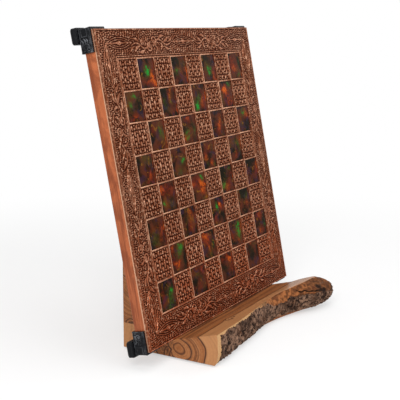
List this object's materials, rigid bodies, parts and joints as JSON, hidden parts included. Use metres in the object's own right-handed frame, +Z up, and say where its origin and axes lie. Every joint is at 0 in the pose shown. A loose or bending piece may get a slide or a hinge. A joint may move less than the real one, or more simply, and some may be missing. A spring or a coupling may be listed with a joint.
{
  "type": "chessboard on a display stand",
  "caption": "Chessboard with an embossed copper face, enamel squares, wooden sides and black corner feet, leaning in the seat of a natural-edge wooden stand.",
  "frame": {"origin": "on the ground under the middle of the whole piece, stand and leaning board together", "axes": "+Z up, the playing face looks towards -Y and leans back, +X to the right along the board's lower edge"},
  "size_m": [0.411, 0.2034, 0.4205],
  "materials": {
    "copper": "embossed copper, dark in the recesses, satin on the high parts",
    "enamel": "glossy dark enamel with green, orange and red swirls",
    "board_wood": "satin reddish brown",
    "core_wood": "plain plywood",
    "back_wood": "satin brown veneer",
    "black_metal": "black, satin, carved",
    "felt": "black felt",
    "screw_steel": "dark plated",
    "olive_wood": "oiled olive wood with bark on its natural edge",
    "dowel_wood": "plain beech",
    "rubber": "black rubber"
  },
  "bodies": {
    "stand": {"rest_dowels": "dowel_wood", "stand_back_rest": "olive_wood", "stand_base_slab": "olive_wood", "stand_pad_front_left": "rubber", "stand_pad_front_right": "rubber", "stand_pad_rear_left": "rubber", "stand_pad_rear_right": "rubber"},
    "board": {"board_back_panel": "back_wood", "board_core_panel": "core_wood", "board_rail_bottom": "board_wood", "board_rail_left": "board_wood", "board_rail_right": "board_wood", "board_rail_top": "board_wood", "copper_face_plate": "copper", "corner_foot_bottom_left": "black_metal", "corner_foot_bottom_right": "black_metal", "corner_foot_top_left": "black_metal", "corner_foot_top_right": "black_metal", "enamel_square_a1": "enamel", "enamel_square_a3": "enamel", "enamel_square_a5": "enamel", "enamel_square_a7": "enamel", "enamel_square_b2": "enamel", "enamel_square_b4": "enamel", "enamel_square_b6": "enamel", "enamel_square_b8": "enamel", "enamel_square_c1": "enamel", "enamel_square_c3": "enamel", "enamel_square_c5": "enamel", "enamel_square_c7": "enamel", "enamel_square_d2": "enamel", "enamel_square_d4": "enamel", "enamel_square_d6": "enamel", "enamel_square_d8": "enamel", "enamel_square_e1": "enamel", "enamel_square_e3": "enamel", "enamel_square_e5": "enamel", "enamel_square_e7": "enamel", "enamel_square_f2": "enamel", "enamel_square_f4": "enamel", "enamel_square_f6": "enamel", "enamel_square_f8": "enamel", "enamel_square_g1": "enamel", "enamel_square_g3": "enamel", "enamel_square_g5": "enamel", "enamel_square_g7": "enamel", "enamel_square_h2": "enamel", "enamel_square_h4": "enamel", "enamel_square_h6": "enamel", "enamel_square_h8": "enamel", "foot_pad_bottom_left": "felt", "foot_pad_bottom_right": "felt", "foot_pad_top_left": "felt", "foot_pad_top_right": "felt", "foot_screws": "screw_steel"}
  },
  "joints": [
    {"name": "board_lift", "type": "slide", "parent": "stand", "child": "board", "axis": [0, 0.1951, 0.9808], "range_m": [0, 0.14]}
  ]
}
